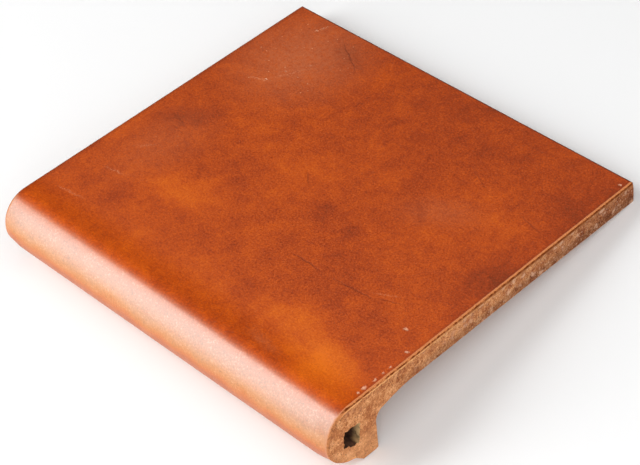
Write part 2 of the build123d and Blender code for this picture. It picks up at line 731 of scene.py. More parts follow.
GLAZE_MARKS: dict[MarkKind, tuple[Mark, ...]] = {
    MarkKind.AMBER: marks(
        (128.0, 40.0, 52.0, 28.0, -12.0, 0.30), (84.0, 58.0, 44.0, 26.0, 10.0, 0.16),
        (0.0, 45.0, 130.0, 40.0, 0.0, 0.06), (-72.0, 96.0, 56.0, 28.0, 14.0, 0.18),
        (-22.0, 166.0, 50.0, 28.0, 0.0, 0.08), (122.0, 212.0, 34.0, 16.0, 15.0, 0.05),
        (58.0, 278.0, 36.0, 18.0, 0.0, 0.06),
    ),
    MarkKind.UMBER: marks(
        (-132.0, 155.0, 34.0, 18.0, 30.0, 0.10), (-108.0, 62.0, 34.0, 20.0, 0.0, 0.06),
        (-90.0, 279.0, 34.0, 14.0, -28.0, 0.11), (160.0, 262.0, 22.0, 66.0, 0.0, 0.06),
        (160.0, 166.0, 34.0, 70.0, 0.0, 0.13), (60.0, 320.0, 240.0, 150.0, 0.0, 0.07),
        (18.0, 144.0, 12.0, 18.0, 0.0, 0.09), (52.0, 142.0, 12.0, 16.0, 0.0, 0.08),
        (34.0, 63.0, 30.0, 9.0, 0.0, 0.09),
    ),
    # Pale hazy patches; the large one at the back left is a painted sheen
    MarkKind.HAZE: marks(
        (-118.0, 258.0, 76.0, 84.0, 0.0, 0.60), (-125.0, 120.0, 45.0, 70.0, 0.0, 0.22),
        (84.0, 196.0, 46.0, 24.0, 30.0, 0.24), (80.0, 30.0, 24.0, 7.0, -8.0, 0.30),
    ),
    MarkKind.CREASE: marks(
        (-89.0, 281.0, 28.0, 0.9, -31.0, 0.46, 0.30), (48.0, 100.4, 20.0, 1.0, -2.0, 0.46, 0.30),
        (91.0, 101.8, 24.0, 1.0, 6.0, 0.40, 0.30), (118.0, 109.0, 16.0, 1.0, 22.0, 0.26, 0.30),
        (-13.0, 162.0, 11.0, 1.1, -40.0, 0.30, 0.30), (139.0, 226.0, 20.0, 1.0, -15.0, 0.32, 0.30),
        (84.0, 238.0, 18.0, 1.1, -25.0, 0.26, 0.30), (-134.0, 148.0, 14.0, 1.1, -18.0, 0.28, 0.30),
    ),
    MarkKind.SCUFF: marks(
        (-124.0, 219.0, 14.0, 1.8, 20.0, 1.0, 0.2), (-111.0, 237.0, 22.0, 1.8, 62.0, 0.8, 0.2),
        (-131.0, 292.0, 10.0, 2.2, 70.0, 1.0, 0.2), (-127.0, 78.6, 13.0, 1.2, 8.0, 1.0, 0.3),
        (-134.0, 42.6, 18.0, 1.3, 8.0, 0.8, 0.3), (-132.0, 112.0, 14.0, 1.8, 40.0, 0.6, 0.2),
        (112.0, 112.0, 16.0, 1.3, 28.0, 0.6, 0.2),
    ),
    MarkKind.CHIP: marks(
        (144.0, 97.0, 3.6, 2.2, 15.0, 0.85), (159.0, 82.3, 3.2, 1.8, 35.0, 0.95),
        (160.0, 65.3, 1.4, 2.6, 0.0, 0.85), (160.2, 58.5, 1.3, 2.2, 0.0, 0.80),
        (160.6, 50.7, 1.4, 4.0, 10.0, 0.95), (160.2, 41.1, 2.4, 3.4, 0.0, 1.00),
        (160.4, 35.5, 1.8, 2.0, 0.0, 0.90), (159.5, 296.5, 2.8, 1.8, 0.0, 0.95),
        (-119.7, 222.2, 2.8, 1.7, 20.0, 0.75), (-132.3, 289.0, 2.4, 1.7, 40.0, 0.75),
        (-130.7, 294.1, 3.0, 1.3, 60.0, 0.60), (-114.7, 238.3, 1.7, 1.3, 0.0, 0.55),
        (-105.0, 254.6, 2.6, 1.3, 55.0, 0.50), (-124.9, 267.7, 1.7, 1.3, 0.0, 0.50),
        (-102.2, 238.9, 1.5, 1.2, 0.0, 0.45), (-136.5, 237.5, 1.4, 1.1, 0.0, 0.45),
    ),
}


class Graph:
    """A material's node tree, with short ways to add the nodes that the finishes use."""

    def __init__(self, name: str, section: TreadSection) -> None:
        """Start a material on one shader, with the tile's own coordinates in millimetres.

        Args:
            name: Name of the material.
            section: Section whose placing is undone, so that patterns turn with the tile.
        """
        self.material = bpy.data.materials.new(name)
        self.material.use_nodes = True
        self.tree = self.material.node_tree
        self.tree.nodes.clear()
        self.shader = self.add("BsdfPrincipled")
        self.add("OutputMaterial", {"Surface": self.shader.outputs["BSDF"]})
        inputs = {
            "Vector": self.add("TexCoord").outputs["Object"],
            "Location": section.placing.inverted().to_translation() / MM,
            "Rotation": (section.lean, 0.0, 0.0),
            "Scale": (1.0 / MM,) * 3,
        }
        self.place = self.add("Mapping", inputs).outputs[0]

    def add(self, kind: str, inputs: dict[str | int, object] | None = None, **modes: str) -> Node:
        """Add a node, set its modes and feed its inputs.

        Args:
            kind: Kind of shader node.
            inputs: Values or sockets, by the names or numbers of the inputs.
            modes: Settings of the node.

        Returns:
            The node.
        """
        node = self.tree.nodes.new("ShaderNode" + kind)
        for name, mode in modes.items():
            setattr(node, name, mode)
        for name, value in (inputs or {}).items():
            self.feed(node.inputs[name], value)
        return node

    def feed(self, socket: NodeSocket, value: object) -> None:
        """Link a socket, or set it where the value is a plain one.

        Args:
            socket: Input to feed.
            value: Another node's output or a plain value.
        """
        if isinstance(value, NodeSocket):
            self.tree.links.new(value, socket)
        else:
            socket.default_value = value

    def math(self, operation: str, *values: NodeSocket | float) -> NodeSocket:
        """Work out one operation on some values."""
        return self.add("Math", dict(enumerate(values)), operation=operation).outputs[0]

    def times(self, *values: NodeSocket | float) -> NodeSocket:
        """Multiply several values."""
        return reduce(partial(self.math, "MULTIPLY"), values)

    def total(self, *values: NodeSocket) -> NodeSocket:
        """Add up several values."""
        return reduce(partial(self.math, "ADD"), values)

    def highest(self, *values: NodeSocket) -> NodeSocket:
        """Pick the highest of several values."""
        return reduce(partial(self.math, "MAXIMUM"), values)

    def weighed(self, *layers: tuple[NodeSocket, float]) -> NodeSocket:
        """Add up several values by their shares."""
        return self.total(*[self.times(value, share) for value, share in layers])

    def ruffled(self, level: NodeSocket | float, pattern: NodeSocket, swing: float) -> NodeSocket:
        """Let a level swing with a pattern that is about one half on average.

        Args:
            level: Level to ruffle.
            pattern: The pattern.
            swing: Width of the swing.

        Returns:
            The ruffled level.
        """
        half = -swing / 2.0
        base = level + half if isinstance(level, float) else self.math("ADD", level, half)
        return self.math("MULTIPLY_ADD", pattern, swing, base)

    def axes(self) -> list[NodeSocket]:
        """Split the tile's coordinates into along, back and height."""
        return list(self.add("SeparateXYZ", {0: self.place}).outputs)

    def span(self, value: NodeSocket, ease: Ease) -> NodeSocket:
        """Ease a value."""
        inputs = dict(enumerate((value, ease.low, ease.high, ease.start, ease.stop)))
        return self.add("MapRange", inputs, interpolation_type="SMOOTHSTEP").outputs[0]

    def grain(self, grain: Grain, place: NodeSocket | None = None) -> NodeSocket:
        """Add a noise pattern.

        Args:
            grain: The pattern.
            place: Coordinates to use instead of the tile's own.

        Returns:
            The noise, about one half on average.
        """
        inputs = {
            "Vector": place or self.place,
            "Scale": 1.0 / grain.size,
            "Detail": grain.detail,
            "Roughness": grain.roughness,
            "Distortion": grain.distortion,
        }
        return self.add("TexNoise", inputs).outputs["Fac"]

    def pores(self, size: float) -> NodeSocket:
        """Add cells about as large as size and return the distance to their middles."""
        return self.add("TexVoronoi", {"Vector": self.place, "Scale": 1.0 / size}).outputs["Distance"]

    def stretched(self, shares: Triple) -> NodeSocket:
        """Scale the tile's coordinates, to draw a pattern out along an axis."""
        return self.add("Mapping", {"Vector": self.place, "Scale": shares}).outputs[0]

    def wobbled(self, wander: Wander) -> NodeSocket:
        """Shake the tile's coordinates, so that what is drawn with them wanders.

        Args:
            wander: How far and how often they stray.

        Returns:
            The shaken coordinates.
        """
        inputs = {"Vector": self.place, "Scale": 1.0 / wander.size, "Detail": wander.detail}
        noise_colour = self.add("TexNoise", inputs).outputs["Color"]
        inputs = {0: noise_colour, 1: (2.0 * wander.reach,) * 3, 2: (-wander.reach,) * 3}
        shift = self.add("VectorMath", inputs, operation="MULTIPLY_ADD").outputs[0]
        return self.add("VectorMath", {0: shift, 1: self.place}, operation="ADD").outputs[0]

    def oval(self, mark: Mark, place: NodeSocket) -> NodeSocket:
        """Add the soft oval of one mark, which runs through the tile from top to bottom.

        Args:
            mark: The mark.
            place: Coordinates to draw it with.

        Returns:
            Its strength at the middle, falling to nothing at its edge.
        """
        inputs = {
            "Vector": place,
            "Location": (mark.along, mark.back, 0.0),
            "Rotation": (0.0, 0.0, radians(mark.turn)),
            "Scale": (mark.reach, mark.spread, MARK_DEPTH),
        }
        spot = self.add("Mapping", inputs, vector_type="TEXTURE").outputs[0]
        distance = self.add("VectorMath", {0: spot}, operation="LENGTH").outputs["Value"]
        return self.span(distance, Ease(1.0, mark.core, 0.0, mark.strength))

    def ramp(self, value: NodeSocket, places: tuple[float, ...], *colours: Colour) -> NodeSocket:
        """Add a colour ramp.

        Args:
            value: Socket that picks the colour.
            places: Places of the colours, the lowest first.
            colours: The colours.

        Returns:
            The colour.
        """
        node = self.add("ValToRGB", {0: value})
        elements = node.color_ramp.elements
        while len(elements) < len(places):
            elements.new(0.5)
        for element, place, colour in zip(elements, places, colours):
            element.position = place
            element.color = colour
        return node.outputs[0]

    def mix(self, share: NodeSocket, first: NodeSocket, second: object, blend: str = "MIX") -> NodeSocket:
        """Mix a share of a second colour into a first one."""
        inputs = {MIX_SHARE: share, MIX_FIRST: first, MIX_SECOND: second}
        return self.add("Mix", inputs, data_type="RGBA", blend_type=blend).outputs[MIX_RESULT]

    def bump(self, height: NodeSocket, bump: Bump, under: NodeSocket | None = None) -> NodeSocket:
        """Turn a height into a normal.

        Args:
            height: Height from 0 to 1.
            bump: The relief that it makes.
            under: Normal that this one lies on.

        Returns:
            The normal.
        """
        inputs = {"Strength": bump.strength, "Distance": bump.rise * MM, "Height": height}
        if under is not None:
            inputs["Normal"] = under
        return self.add("Bump", inputs).outputs[0]

    def finish(self, colour: NodeSocket, roughness: NodeSocket | float, normal: NodeSocket) -> Material:
        """Feed the shader.

        Args:
            colour: Colour of the surface.
            roughness: Its roughness.
            normal: Its normal.

        Returns:
            The material.
        """
        for name, value in (("Base Color", colour), ("Roughness", roughness), ("Normal", normal)):
            self.feed(self.shader.inputs[name], value)
        return self.material


@dataclass(frozen=True)
class Glaze:
    """Mottled orange-brown glaze, thinner and pale-flecked round the nosing, with a painted highlight and
    reflection down the nosing, painted shade at its lower edge and along the back edge, and a painted
    pinkish sheen at the back left; creased, scuffed and chipped.
    """

    section: TreadSection
    half_length: float
    umber: Colour = (0.215, 0.027, 0.001, 1.0)
    russet: Colour = (0.400, 0.045, 0.001, 1.0)
    orange: Colour = (0.610, 0.085, 0.001, 1.0)
    amber: Colour = (0.870, 0.172, 0.002, 1.0)
    haze_and_sheen: Colour = (0.600, 0.152, 0.054, 1.0)
    # Painted highlight and reflection on the nosing, from its upper fringe downwards
    painted_highlight_fringe: Colour = (0.540, 0.150, 0.040, 1.0)
    painted_highlight_milky: Colour = (0.420, 0.168, 0.076, 1.0)
    painted_highlight_pearl: Colour = (0.440, 0.200, 0.090, 1.0)
    painted_highlight_peach: Colour = (0.550, 0.238, 0.090, 1.0)
    painted_reflection_honey: Colour = (0.560, 0.195, 0.030, 1.0)
    thin: Colour = (0.567, 0.136, 0.001, 1.0)
    # Painted shade at the nosing's lower edge
    low: Colour = (0.445, 0.082, 0.001, 1.0)
    crease: Colour = (0.130, 0.017, 0.004, 1.0)
    scuff: Colour = (0.900, 0.380, 0.190, 1.0)
    chip: Colour = (0.880, 0.430, 0.245, 1.0)
    dust: Colour = (0.780, 0.340, 0.140, 1.0)
    frost: Colour = (0.860, 0.600, 0.430, 1.0)
    soot_and_shade: Colour = (0.120, 0.050, 0.020, 1.0)
    edge: Colour = (0.740, 0.260, 0.085, 1.0)
    body: Colour = (0.540, 0.205, 0.076, 1.0)
    refraction: float = 1.8
    # Clouds and patches
    clouds: tuple[tuple[Grain, float], ...] = (
        (Grain(70.0, 3.0, 0.55, 0.4), 0.27),
        (Grain(14.0, 3.0, 0.60, 0.4), 0.29),
        (Grain(4.5, 3.0, 0.60, 0.4), 0.14),
        (Grain(1.5, 4.0, 0.72, 0.4), 0.66),
    )
    cloud_tones: tuple[float, ...] = (0.44, 0.60, 0.75, 1.0)
    drift: Wander = Wander(14.0, 7.0)
    haze_grain: Grain = Grain(3.2, 4.0, 0.72)
    haze_patches: Ease = Ease(0.34, 0.62, 0.55, 1.30)
    spatter_size: float = 6.0
    spatter: Ease = Ease(0.10, 0.05)
    spattered: Ease = Ease(0.1, 0.4)
    # Nosing, by height below the top face: painted highlight and reflection, the glaze's orange, then
    # painted shade at the lower edge
    roll_depths: tuple[float, ...] = (2.5, 6.0, 10.0, 15.0, 20.0, 24.6, 30.0)
    roll_grain: Grain = Grain(1.4, 3.0, 0.7)
    roll_swing: float = 4.0
    streak_grain: Grain = Grain(24.0, 3.0, 0.55)
    streak_swing: float = 16.0
    streaked: Ease = Ease(-7.0, -17.0)
    painted_light_cover: Ease = Ease(-0.4, -3.5, 0.0, 0.95)
    painted_light_grain: Grain = Grain(1.1, 3.0, 0.7)
    painted_light_gaps: Ease = Ease(0.30, 0.66, 0.70, 1.0)
    painted_light_closed: Ease = Ease(-9.0, -15.0)
    speck_grain: Grain = Grain(0.9, 3.0, 0.7)
    pale_specks: Ease = Ease(0.50, 0.76, 0.0, 0.22)
    dark_specks: Ease = Ease(0.46, 0.26, 0.0, 0.26)
    fleck_grain: Grain = Grain(1.5, 3.0, 0.75)
    fleck_patches: Grain = Grain(9.0)
    fleck_swing: float = 0.24
    flecked: Ease = Ease(-0.8, -4.0)
    frosted: Ease = Ease(-27.0, -17.0, 0.5, 1.0)
    pale_flecks: Ease = Ease(0.52, 0.74, 0.0, 0.38)
    dull_flecks: Ease = Ease(0.48, 0.28, 0.0, 0.36)
    # Marks
    quiver: Wander = Wander(6.0, 1.6)
    shiver: Wander = Wander(1.6, 0.9)
    crumb_grain: Grain = Grain(1.3, 3.0, 0.7)
    scuffing: Ease = Ease(0.44, 0.68, 0.0, 0.65)
    chip_swing: float = 1.6
    chipping: Ease = Ease(0.22, 0.80)
    chip_share: float = 0.8
    # Ends, by distance past the end plane, the crown or the back edge
    end_grain: Grain = Grain(5.0)
    end_swing: float = 0.7
    straight: Ease = Ease(-13.0, -4.0)
    end_shade: Ease = Ease(-5.0, -2.6, 0.0, 0.3)
    strip: Ease = Ease(-2.45, -1.95)
    strip_wear: Ease = Ease(0.30, 0.62, 0.6, 1.0)
    back_edge_shade: Ease = Ease(-2.0, -1.1, 0.0, 0.9)
    torn_grain: Grain = Grain(2.2)
    torn_swing: float = 3.0
    torn: Ease = Ease(-4.2, -1.2)
    curved: Ease = Ease(-4.0, -13.0)
    hem_grain: Grain = Grain(5.0, 4.0)
    hem_height: float = -46.0
    hem_swing: float = 9.0
    hem: Ease = Ease(0.6, -0.6)
    # Gloss and relief
    trodden_grain: Grain = Grain(1.5, 4.0, 0.72)
    trodden_gain: float = 0.40
    trodden_offset: float = -0.04
    trodden: Ease = Ease(1.0, 24.0)
    dullness: Ease = Ease(-4.0, -16.0, 0.30, 0.46)
    scuffed_dullness: float = 0.15
    worn_roughness: float = 0.8
    pebble_grain: Grain = Grain(2.2)
    pebble: Bump = Bump(0.10, 0.5)
    swell_grain: Grain = Grain(13.0, 2.0, 0.5)
    swell: Bump = Bump(0.30, 0.5)
    sunk: Bump = Bump(-0.25, 0.8)

    def gather(self, graph: Graph, kind: MarkKind, place: NodeSocket) -> NodeSocket:
        """Add up the strength of the marks of one kind."""
        return graph.total(*[graph.oval(mark, place) for mark in GLAZE_MARKS[kind]])

    def mottle(self, graph: Graph) -> NodeSocket:
        """Paint the glaze's clouds, grain and patches, whose hazy patches are partly a painted pinkish sheen
        at the back left.

        Args:
            graph: Material's graph.

        Returns:
            The colour before wear.
        """
        drift = graph.wobbled(self.drift)
        clouds = graph.weighed(*[(graph.grain(grain), share) for grain, share in self.clouds])
        tone = graph.total(clouds, self.gather(graph, MarkKind.AMBER, drift))
        tone = graph.math("SUBTRACT", tone, self.gather(graph, MarkKind.UMBER, drift))
        colour = graph.ramp(tone, self.cloud_tones, self.umber, self.russet, self.orange, self.amber)
        patches = graph.span(graph.grain(self.haze_grain), self.haze_patches)
        # Hazy patches, partly a painted pinkish sheen at the back left
        hazy = graph.times(self.gather(graph, MarkKind.HAZE, drift), patches)
        colour = graph.mix(hazy, colour, self.haze_and_sheen)
        spatter = graph.span(graph.pores(self.spatter_size), self.spatter)
        return graph.mix(graph.times(spatter, graph.span(hazy, self.spattered)), colour, self.scuff)

    def painted_nosing_light(self, graph: Graph, height: NodeSocket) -> NodeSocket:
        """Paint the nosing's colours by height: a painted highlight and reflection high up, the thinner
        orange glaze, and painted shade at the lower edge.

        Args:
            graph: Material's graph.
            height: Height from the top face.

        Returns:
            The colour.
        """
        deepest = self.roll_depths[-1]
        places = tuple(depth / deepest for depth in self.roll_depths)
        tints = (self.painted_highlight_fringe, self.painted_highlight_milky, self.painted_highlight_pearl, self.painted_highlight_peach, self.painted_reflection_honey, self.thin, self.low)
        level = graph.ruffled(height, graph.grain(self.roll_grain), self.roll_swing)
        streaks = graph.ruffled(0.0, graph.grain(self.streak_grain), self.streak_swing)
        level = graph.total(level, graph.times(streaks, graph.span(height, self.streaked)))
        return graph.ramp(graph.math("DIVIDE", level, -deepest), places, *tints)

    def nosing_light_and_flecks(self, graph: Graph, colour: NodeSocket, height: NodeSocket) -> NodeSocket:
        """Lay the painted highlight, reflection and lower-edge shade, the specks and the flecks over the
        nosing.

        Args:
            graph: Material's graph.
            colour: Colour of the top face.
            height: Height from the top face.

        Returns:
            The colour of the top face and the nosing.
        """
        # Painted highlight, reflection and lower-edge shade laid over the nosing, with grainy gaps near its
        # top
        gaps = graph.span(graph.grain(self.painted_light_grain), self.painted_light_gaps)
        gaps = graph.highest(gaps, graph.span(height, self.painted_light_closed))
        painted_light_cover = graph.times(graph.span(height, self.painted_light_cover), gaps)
        colour = graph.mix(painted_light_cover, colour, self.painted_nosing_light(graph, height))
        speck = graph.grain(self.speck_grain)
        colour = graph.mix(graph.span(speck, self.pale_specks), colour, self.dust)
        colour = graph.mix(graph.span(speck, self.dark_specks), colour, self.umber)
        patches = graph.ruffled(0.0, graph.grain(self.fleck_patches), self.fleck_swing)
        fleck = graph.total(graph.grain(self.fleck_grain), patches)
        flecked = graph.span(height, self.flecked)
        frosted = graph.times(flecked, graph.span(height, self.frosted))
        colour = graph.mix(graph.times(graph.span(fleck, self.pale_flecks), frosted), colour, self.frost)
        return graph.mix(graph.times(graph.span(fleck, self.dull_flecks), flecked), colour, self.soot_and_shade)

    def material(self) -> Material:
        """Build the glaze.

        Returns:
            The material.
        """
        graph = Graph("glaze", self.section)
        along, back, height = graph.axes()
        crown = self.section.nosing_radius / MM
        quiver = graph.wobbled(self.quiver)
        crumb = graph.grain(self.crumb_grain)
        colour = self.nosing_light_and_flecks(graph, self.mottle(graph), height)
        fold = self.gather(graph, MarkKind.CREASE, quiver)
        colour = graph.mix(fold, colour, self.crease)
        scuffs = self.gather(graph, MarkKind.SCUFF, quiver)
        rubbed = graph.times(scuffs, graph.span(crumb, self.scuffing))
        colour = graph.mix(rubbed, colour, self.scuff)
        chips = self.gather(graph, MarkKind.CHIP, graph.wobbled(self.shiver))
        chips = graph.total(chips, graph.ruffled(0.0, crumb, self.chip_swing))
        chipped = graph.span(chips, self.chipping)
        colour = graph.mix(graph.times(chipped, self.chip_share), colour, self.chip)
        outward = graph.math("ADD", graph.math("ABSOLUTE", along), -self.half_length / MM)
        wander = graph.ruffled(outward, graph.grain(self.end_grain), self.end_swing)
        straight = graph.span(back, self.straight.past(crown))
        shade = graph.times(graph.span(wander, self.end_shade), straight)
        colour = graph.mix(shade, colour, self.umber)
        near_end = graph.times(straight, graph.math("GREATER_THAN", along, 0.0))
        strip = graph.times(graph.span(wander, self.strip), near_end)
        colour = graph.mix(graph.times(strip, graph.span(crumb, self.strip_wear)), colour, self.edge)
        # Painted shade: a dark line on the top face along the rounded back edge
        back_edge_shade = graph.span(back, self.back_edge_shade.past(self.section.depth / MM))
        colour = graph.mix(back_edge_shade, colour, self.crease)
        torn = graph.ruffled(outward, graph.grain(self.torn_grain), self.torn_swing)
        torn = graph.times(graph.span(torn, self.torn), graph.span(back, self.curved.past(crown)))
        colour = graph.mix(torn, colour, self.body)
        hem = graph.ruffled(self.hem_height, graph.grain(self.hem_grain), self.hem_swing)
        bare = graph.span(graph.math("SUBTRACT", height, hem), self.hem)
        colour = graph.mix(bare, colour, self.body)
        trodden = graph.grain(self.trodden_grain)
        trodden = graph.math("MULTIPLY_ADD", trodden, self.trodden_gain, self.trodden_offset)
        trodden = graph.times(trodden, graph.span(back, self.trodden.past(crown)))
        scuffed = graph.times(rubbed, self.scuffed_dullness)
        dull = graph.total(graph.span(height, self.dullness), scuffed, trodden)
        worn = graph.highest(bare, chipped, strip, torn)
        roughness = graph.highest(dull, graph.times(worn, self.worn_roughness))
        pebble = graph.bump(graph.grain(self.pebble_grain), self.pebble)
        swell = graph.bump(graph.grain(self.swell_grain), self.swell, pebble)
        sunk = graph.bump(graph.highest(fold, chipped), self.sunk, swell)
        graph.shader.inputs["IOR"].default_value = self.refraction
        return graph.finish(colour, roughness, sunk)


@dataclass(frozen=True)
class Arris:
    """Rounded end edge: a rubbed pale strip above a dark band of pooled glaze and painted shade, painted
    shade over the whole edge at the end where along is negative, and bare clay round the nosing.
    """

    section: TreadSection
    rubbed: Colour = (0.740, 0.260, 0.085, 1.0)
    stained: Colour = (0.480, 0.130, 0.030, 1.0)
    pooled_glaze_and_shade: Colour = (0.180, 0.034, 0.003, 1.0)
    clay: Colour = (0.540, 0.205, 0.076, 1.0)
    speckle: Colour = (0.270, 0.095, 0.038, 1.0)
    roughness: float = 0.85
    specular: float = 0.12
    crumb_grain: Grain = Grain(1.3, 3.0, 0.7)
    crumb: Bump = Bump(0.15, 0.6)
    rubbed_tones: Point = (0.32, 0.50)
    clay_tones: Point = (0.36, 0.50)
    level_grain: Grain = Grain(4.0)
    level_swing: float = 0.6
    pool_top: Ease = Ease(-0.22, -0.42)
    pool_foot: Ease = Ease(-1.95, -1.35)
    nick_grain: Grain = Grain(4.0, 4.0, 0.75)
    nicks: Ease = Ease(0.44, 0.60, 0.0, 0.85)
    nicked_front: Ease = Ease(200.0, 90.0, 0.3, 1.0)
    curved: Ease = Ease(-4.0, -13.0)

    def material(self) -> Material:
        """Build the worn edge.

        Returns:
            The material.
        """
        graph = Graph("arris", self.section)
        along, back, height = graph.axes()
        crumb = graph.grain(self.crumb_grain)
        colour = graph.ramp(crumb, self.rubbed_tones, self.stained, self.rubbed)
        # Painted shade: the whole edge at the end where along is negative is dark
        colour = graph.mix(graph.math("LESS_THAN", along, 0.0), colour, self.pooled_glaze_and_shade)
        # Dark band below the rubbed strip: pooled glaze with painted shade under the strip
        level = graph.ruffled(height, graph.grain(self.level_grain), self.level_swing)
        pooled_glaze_and_shade = graph.times(graph.span(level, self.pool_top), graph.span(level, self.pool_foot))
        nicked = graph.span(graph.grain(self.nick_grain), self.nicks)
        nicked = graph.times(nicked, graph.span(back, self.nicked_front))
        pooled_glaze_and_shade = graph.math("SUBTRACT", pooled_glaze_and_shade, graph.times(pooled_glaze_and_shade, nicked))
        colour = graph.mix(pooled_glaze_and_shade, colour, self.pooled_glaze_and_shade)
        clay = graph.ramp(crumb, self.clay_tones, self.speckle, self.clay)
        curved = graph.span(back, self.curved.past(self.section.nosing_radius / MM))
        colour = graph.mix(curved, colour, clay)
        graph.shader.inputs["Specular IOR Level"].default_value = self.specular
        return graph.finish(colour, self.roughness, graph.bump(crumb, self.crumb))


@dataclass(frozen=True)
class Fracture:
    """Broken end of the clay body: fine sandy grain, ruddy patches, pores and pale lumps, with painted shade
    towards the rear and the lower rear and painted light towards the foot.
    """

    section: TreadSection
    sand: Colour = (0.540, 0.205, 0.072, 1.0)
    ruddy: Colour = (0.300, 0.080, 0.028, 1.0)
    pale: Colour = (0.840, 0.420, 0.190, 1.0)
    shade: Colour = (0.640, 0.560, 0.560, 1.0)
    # Painted shade, multiplied in towards the lower rear of the end face
    under: Colour = (0.680, 0.680, 0.720, 1.0)
    pore: Colour = (0.090, 0.024, 0.010, 1.0)
    lump: Colour = (0.720, 0.420, 0.270, 1.0)
    seam: Colour = (0.170, 0.040, 0.008, 1.0)
    speckle: Colour = (0.230, 0.080, 0.030, 1.0)
    lip: Colour = (0.860, 0.430, 0.170, 1.0)
    roughness: float = 0.93
    specular: float = 0.15
    sand_grain: Grain = Grain(1.1, 4.0, 0.70)
    sand_share: float = 0.55
    sand_relief: Bump = Bump(0.25, 0.7)
    patches: tuple[tuple[Grain, float], ...] = ((Grain(3.4), 0.35), (Grain(9.0), 0.35))
    tones: Triple = (0.51, 0.63, 0.77)
    pore_size: float = 2.6
    pores: Ease = Ease(0.22, 0.09, 0.0, 0.85)
    pits: Ease = Ease(0.08, 0.25)
    pit_relief: Bump = Bump(0.4, 0.7)
    border: Ease = Ease(4.5, 1.6)
    border_specks: Ease = Ease(0.52, 0.42)
    border_front: Ease = Ease(2.0, -8.0, 0.0, 0.8)
    painted_light_foot: Ease = Ease(-24.0, -44.0, 0.0, 0.3)
    rear_shade: Ease = Ease(130.0, 290.0)
    lower: Ease = Ease(-8.0, -14.0)
    low_shade_rear: Ease = Ease(50.0, 110.0)
    lump_size: float = 8.0
    lump_grain: Grain = Grain(2.4)
    lump_swing: float = -0.9
    lumps: Ease = Ease(-0.06, -0.38)
    lump_rear: Ease = Ease(60.0, 200.0, 0.10, 0.70)
    grit_grain: Grain = Grain(1.6, 2.0, 0.6, 0.3)
    grit: Ease = Ease(0.58, 0.70)
    seam_swing: float = 0.7
    seam_edge: Ease = Ease(2.75, 2.15)
    seam_rear: Ease = Ease(45.0, 130.0)
    lip_grain: Grain = Grain(2.8, 4.0)
    lip_depth: float = 2.0
    lip_swing: float = 2.6
    lip_edge: Ease = Ease(0.9, 0.0)
    lip_straight: Ease = Ease(-14.0, -5.0)
    lip_front: Ease = Ease(170.0, 70.0, 0.15, 0.8)

    def rim(self, graph: Graph, back: NodeSocket, height: NodeSocket) -> NodeSocket:
        """Measure the depth inside the glazed outline, as the section does.

        Args:
            graph: Material's graph.
            back: Distance from the nosing front.
            height: Height from the top face.

        Returns:
            Depth in millimetres.
        """
        radius = self.section.nosing_radius / MM
        ahead = graph.math("SUBTRACT", radius, back)
        up = graph.math("ADD", height, radius)
        reach = graph.math("SQRT", graph.math("MULTIPLY_ADD", ahead, ahead, graph.times(up, up)))
        below = graph.times(height, -1.0)
        inward = graph.math("SUBTRACT", graph.math("SUBTRACT", radius, reach), below)
        return graph.math("MULTIPLY_ADD", inward, graph.math("LESS_THAN", back, radius), below)

    def material(self) -> Material:
        """Build the broken face.

        Returns:
            The material.
        """
        graph = Graph("fracture", self.section)
        crown = self.section.nosing_radius / MM
        _, back, height = graph.axes()
        rim = self.rim(graph, back, height)
        sand = graph.grain(self.sand_grain)
        patches = [(graph.grain(grain), share) for grain, share in self.patches]
        tone = graph.weighed((sand, self.sand_share), *patches)
        colour = graph.ramp(tone, self.tones, self.ruddy, self.sand, self.pale)
        pores = graph.pores(self.pore_size)
        colour = graph.mix(graph.span(pores, self.pores), colour, self.pore)
        border = graph.times(graph.span(rim, self.border), graph.span(sand, self.border_specks))
        border = graph.times(border, graph.span(back, self.border_front.past(crown)))
        colour = graph.mix(border, colour, self.speckle)
        # Painted light: paler towards the foot
        colour = graph.mix(graph.span(height, self.painted_light_foot), colour, self.pale)
        colour = graph.mix(graph.span(back, self.rear_shade), colour, self.shade, "MULTIPLY")
        # Painted shade: darker towards the lower rear
        lower = graph.times(graph.span(height, self.lower), graph.span(back, self.low_shade_rear))
        colour = graph.mix(lower, colour, self.under, "MULTIPLY")
        cells = graph.pores(self.lump_size)
        lumps = graph.math("MULTIPLY_ADD", graph.grain(self.lump_grain), self.lump_swing, cells)
        rear = graph.span(back, self.lump_rear)
        colour = graph.mix(graph.times(graph.span(lumps, self.lumps), rear), colour, self.lump)
        grit = graph.span(graph.grain(self.grit_grain), self.grit)
        colour = graph.mix(graph.times(grit, rear), colour, self.lump)
        seam = graph.span(graph.math("MULTIPLY_ADD", sand, self.seam_swing, rim), self.seam_edge)
        colour = graph.mix(graph.times(seam, graph.span(back, self.seam_rear)), colour, self.seam)
        lip = graph.ruffled(self.lip_depth, graph.grain(self.lip_grain), self.lip_swing)
        torn = graph.span(graph.math("SUBTRACT", rim, lip), self.lip_edge)
        straight = graph.span(back, self.lip_straight.past(crown))
        colour = graph.mix(graph.times(torn, straight, graph.span(back, self.lip_front)), colour, self.lip)
        graph.shader.inputs["Specular IOR Level"].default_value = self.specular
        rough = graph.bump(sand, self.sand_relief)
        pitted = graph.bump(graph.span(pores, self.pits), self.pit_relief, rough)
        return graph.finish(colour, self.roughness, pitted)


